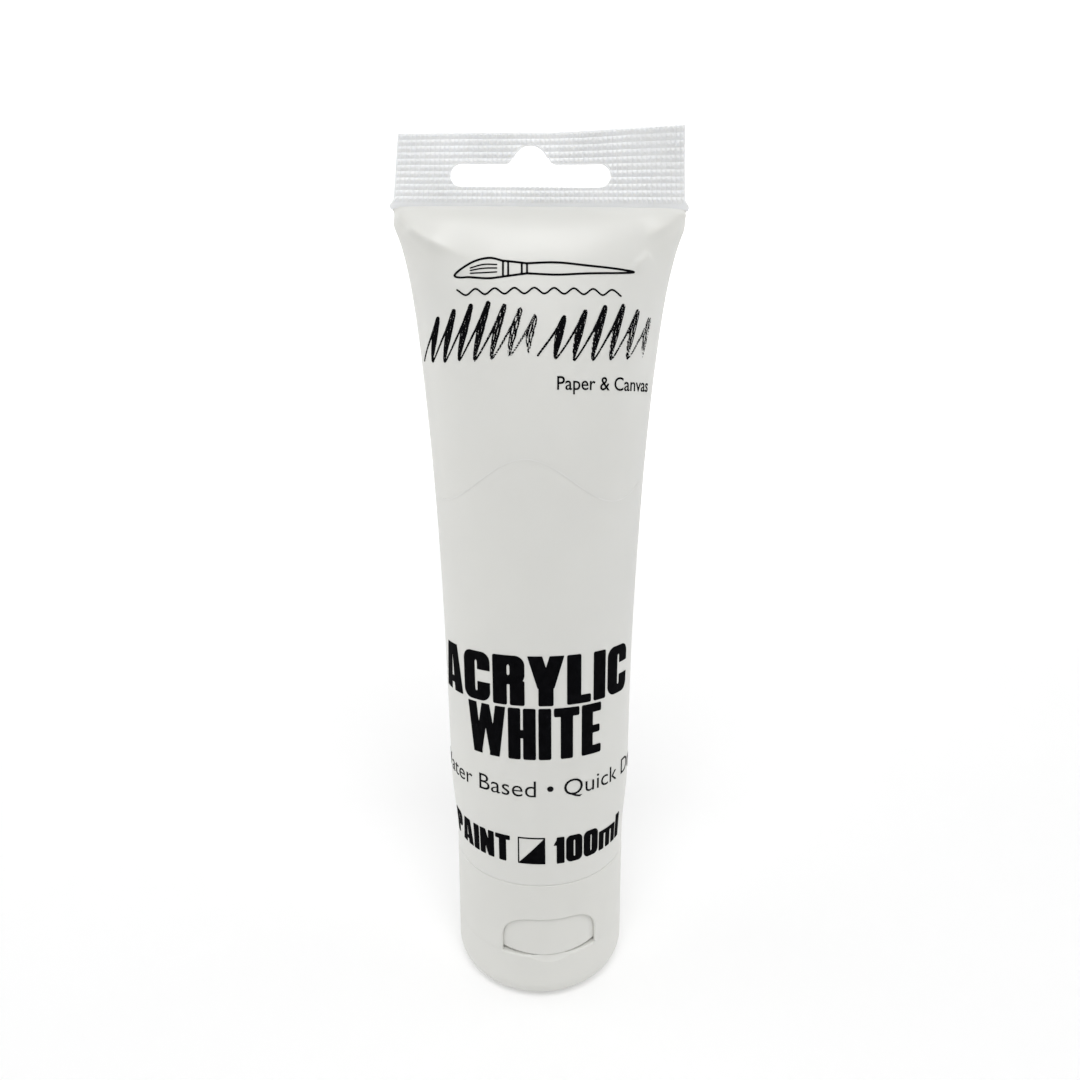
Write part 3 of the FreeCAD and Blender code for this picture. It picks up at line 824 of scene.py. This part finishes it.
def flourish():
    """Two runs of plain brush-pen zigzag that swell and die away."""
    xs, ys, xx, yy = grid(-28.5, 28.6, 129.5, 149.6, 0.14)
    field = np.full(xx.shape, 9.0)
    slant = 0.36
    base = 134.0

    def scribble(x0, x1, heights, feet, dry, seed):
        """Up and down strokes from x0 to x1, light on the way up and heavy on the way down."""
        nonlocal field
        knots = []
        pitch = (x1 - x0) / len(heights)
        for k, (height, foot) in enumerate(zip(heights, feet)):
            x = x0 + pitch * k
            knots += [(x, base + foot, 0.2),
                      (x + 0.46 * pitch, base + foot + 0.55 * height, 0.24),
                      (x + 0.66 * pitch, base + height, 0.42),
                      (x + 0.74 * pitch, base + 0.55 * height, 0.74)]
        knots.append((x1, base + feet[-1] + 0.6, 0.16))
        leaned = spline(knots, 14)
        leaned[:, 0] += slant * (leaned[:, 1] - base)
        field = np.minimum(field, stroke_field(xx, yy, leaned, dry, seed))

    heights = (8.4, 9.6, 10.4, 10.8, 10.2, 9.4, 8.2)
    scribble(-26.2, -2.8, heights, (0.6, 0.2, 0, 0.2, 0, 0.3, 0.8), 0.4, 1.0)
    heights = (8.0, 9.2, 10.2, 10.6, 9.8, 8.6)
    scribble(-0.8, 21.2, heights, (0.8, 0.3, 0, 0.1, 0.3, 0.6), 0.45, 4.0)
    # a slightly rough edge
    field += 0.03 * np.sin(xx * 7.1 + yy * 3.3) * np.sin(yy * 8.7 - xx * 2.9)
    points, faces = contour_mesh(field, xs, ys)
    return ink("print_flourish", points, faces, black_ink)


def brush_ornament():
    """A paintbrush in thin line, over a fine wavy stroke."""
    xs, ys, xx, yy = grid(-18.6, 20.0, 145.2, 155.4, 0.13)
    field = np.full(xx.shape, 9.0)
    level = 151.2
    thin = 0.19

    def line(knots, width=thin, count=16):
        """A line through knots given as (x, height over the brush's axis)."""
        nonlocal field
        knots = [(x, level + up, width) for x, up in knots]
        samples = spline(knots, count) if count > 1 else np.array(knots)
        field = np.minimum(field, stroke_field(xx, yy, samples))

    # handle
    upper = [(-2.6, 0.95), (3.0, 1.15), (9.0, 0.75), (15.0, 0.4), (18.2, 0.1)]
    line(upper + [(x, -up) for x, up in reversed(upper)])
    # ferrule and its two rings
    line([(-2.6, 0.95), (-7.2, 1.5), (-7.2, -1.5), (-2.6, -0.95), (-2.6, 0.95)], thin, 1)
    line([(-3.6, 1.05), (-3.6, -1.05)], thin, 1)
    line([(-6.2, 1.4), (-6.2, -1.4)], thin, 1)
    # hairs
    line([(-7.2, 1.5), (-10.0, 2.1), (-13.4, 1.3), (-16.9, -0.9), (-13.6, -1.4), (-10.0, -1.75), (-7.2, -1.5)])
    for up in (-0.6, 0.15, 0.8):
        line([(-8.4, up), (-11.0, up * 1.1), (-13.6, up * 0.7 - 0.25)], 0.12)
    line([(-16.4 + 1.9 * k, -4.2 + 0.55 * (-1) ** k) for k in range(18)], 0.17)
    points, faces = contour_mesh(field, xs, ys)
    return ink("print_brush", points, faces, black_ink)


def corner_square():
    """Small square with a thin border and its lower right half filled."""
    x0, x1, y0, y1 = -5.0, 0.7, 32.3, 37.9
    xs, ys, xx, yy = grid(x0 - 0.3, x1 + 0.3, y0 - 0.3, y1 + 0.3, 0.1)
    outer = slab(xx, yy, x0, x1, y0, y1)
    border = np.maximum(outer, -(outer + 0.28))
    rise = (y1 - y0) / (x1 - x0)
    corner = np.maximum(outer, ((yy - y0) - (xx - x0) * rise) / math.hypot(1, rise))
    points, faces = contour_mesh(np.minimum(border, corner), xs, ys)
    return ink("print_square", points, faces, black_ink)


def faint_wave():
    """Faint rolling line across the plain part of the print."""
    xs, ys, xx, yy = grid(-24, 24, 104, 118, 0.16)
    across = np.linspace(-23, 23, 120)
    rolling = 111.0 + 4.2 * np.cos(across / 23 * math.pi * 1.25 + 0.5)
    line = np.stack([across, rolling, np.full_like(across, 0.11)], -1)
    points, faces = contour_mesh(stroke_field(xx, yy, line), xs, ys)
    return ink("print_wave", points, faces, tint_ink)


KIND_ROW = (66.15, 76.5)
COLOUR_ROW = (54.7, 65.6)
NOTES_BASELINE = 46.6
LAST_ROW = (32.2, 37.8)
SURFACES_BASELINE = 128.4
LARGE_STEP, SMALL_STEP = 0.14, 0.11

brush_ornament()
flourish()
font_line("print_surfaces", "Paper & Canvas", 3.2, 24.3, SURFACES_BASELINE, black_ink, 0.006, 2.7)
faint_wave()
heavy_word("print_kind", "ACRYLIC", -25.4, 21.6, *KIND_ROW, LARGE_STEP)
heavy_word("print_colour", "WHITE", -16.3, 13.2, *COLOUR_ROW, LARGE_STEP)
font_line("print_notes", "Water Based • Quick Dry", -31.0, 29.0, NOTES_BASELINE, thin_ink, -0.005, 3.7)
heavy_word("print_type", "PAINT", -24.5, -6.7, *LAST_ROW, SMALL_STEP)
corner_square()
heavy_word("print_amount", "100ml", 2.4, 20.8, *LAST_ROW, SMALL_STEP)


# ---- studio -------------------------------------------------------------------------------------
def studio_floor():
    """Round pale floor that sweeps up into a wall all round; its sizes are in metres."""
    radii = [0.0, 0.05, 0.15, 0.3, 0.6, 1.0, 1.5, 2.0]
    profile = [(r, 0.0) for r in radii]
    cove = 0.9
    cove_steps = 12
    wall_top = 2.6
    for k in range(1, cove_steps + 1):
        a = k / cove_steps * math.pi / 2
        profile.append((radii[-1] + cove * math.sin(a), cove * (1 - math.cos(a))))
    profile.append((radii[-1] + cove, wall_top))
    around = 72
    points = [(0, 0, 0)]
    for r, z in profile[1:]:
        for k in range(around):
            a = 2 * math.pi * k / around
            points.append((r * math.cos(a) / MM, r * math.sin(a) / MM, z / MM))
    faces = [(0, 1 + k, 1 + (k + 1) % around) for k in range(around)]
    for j in range(len(profile) - 2):
        for k in range(around):
            m = (k + 1) % around
            a, b = 1 + j * around, 1 + (j + 1) * around
            faces.append((a + k, b + k, b + m, a + m))
    mat, nodes, links, shader = material("studio_floor")
    cloud = noise(nodes, links, 3, 2)
    links.new(ramp(nodes, links, cloud, 0.3, 0.8, (0.68, 0.68, 0.68), (0.71, 0.71, 0.71)),
              shader.inputs["Base Color"])
    shader.inputs["Roughness"].default_value = 0.9
    shader.inputs["Specular IOR Level"].default_value = 0.1
    shader.inputs["Emission Color"].default_value = (1, 1, 1, 1)
    # the sweep behind the object glows, and the side in front of it doesn't
    place = nodes.new("ShaderNodeTexCoord")
    split = nodes.new("ShaderNodeSeparateXYZ")
    links.new(place.outputs["Object"], split.inputs["Vector"])
    glow = nodes.new("ShaderNodeMapRange")
    glow.interpolation_type = "SMOOTHSTEP"
    glow.inputs["From Min"].default_value = -1.2
    glow.inputs["From Max"].default_value = 1.8
    glow.inputs["To Min"].default_value = 0.02
    glow.inputs["To Max"].default_value = 0.75
    links.new(split.outputs["Y"], glow.inputs["Value"])
    links.new(glow.outputs["Result"], shader.inputs["Emission Strength"])
    obj = mesh_object("studio_floor", points, faces, mat)
    # a hair below the object, so that the two faces don't flicker
    obj.location.z = -0.05 * MM


def softbox(name, place, aim, width, height, power):
    light = bpy.data.lights.new(name, "AREA")
    light.shape = "RECTANGLE"
    light.size, light.size_y = width, height
    light.energy = power
    obj = bpy.data.objects.new(name, light)
    obj.location = place
    obj.rotation_euler = (Vector(aim) - Vector(place)).to_track_quat("-Z", "Y").to_euler()
    obj.visible_camera = False
    bpy.context.scene.collection.objects.link(obj)


studio_floor()
MIDDLE = (0, 0, 0.09)
softbox("left_box", (-0.8, 0.0, 0.3), MIDDLE, 0.7, 0.9, 1.7)
softbox("right_box", (0.8, 0.0, 0.3), MIDDLE, 0.7, 0.9, 1.45)
softbox("key_box", (0, -0.5, 0.9), MIDDLE, 0.6, 0.5, 6.0)
softbox("back_box", (0, 0.9, 0.6), MIDDLE, 0.9, 0.6, 0.2)

world = bpy.data.worlds.new("studio")
world.use_nodes = True
background = world.node_tree.nodes["Background"]
background.inputs["Color"].default_value = (1, 1, 1, 1)
background.inputs["Strength"].default_value = 0.25
bpy.context.scene.world = world
bpy.context.scene.view_settings.view_transform = "Standard"

CAMERA_PLACE = (-3.28, -146.29, 121.63)
CAMERA_HEADING = math.radians(1.283)
CAMERA_DIP = math.radians(9.55)
camera_data = bpy.data.cameras.new("camera")
camera_data.sensor_width = 36
camera_data.lens = 22.67
camera_data.clip_start = 0.01
camera_data.clip_end = 20
camera = bpy.data.objects.new("camera", camera_data)
camera.location = Vector(CAMERA_PLACE) * MM
level_run = math.cos(CAMERA_DIP)
forward = Vector((math.sin(CAMERA_HEADING) * level_run,
                  math.cos(CAMERA_HEADING) * level_run,
                  -math.sin(CAMERA_DIP)))
camera.rotation_euler = forward.to_track_quat("-Z", "Y").to_euler()
bpy.context.scene.collection.objects.link(camera)
bpy.context.scene.camera = camera
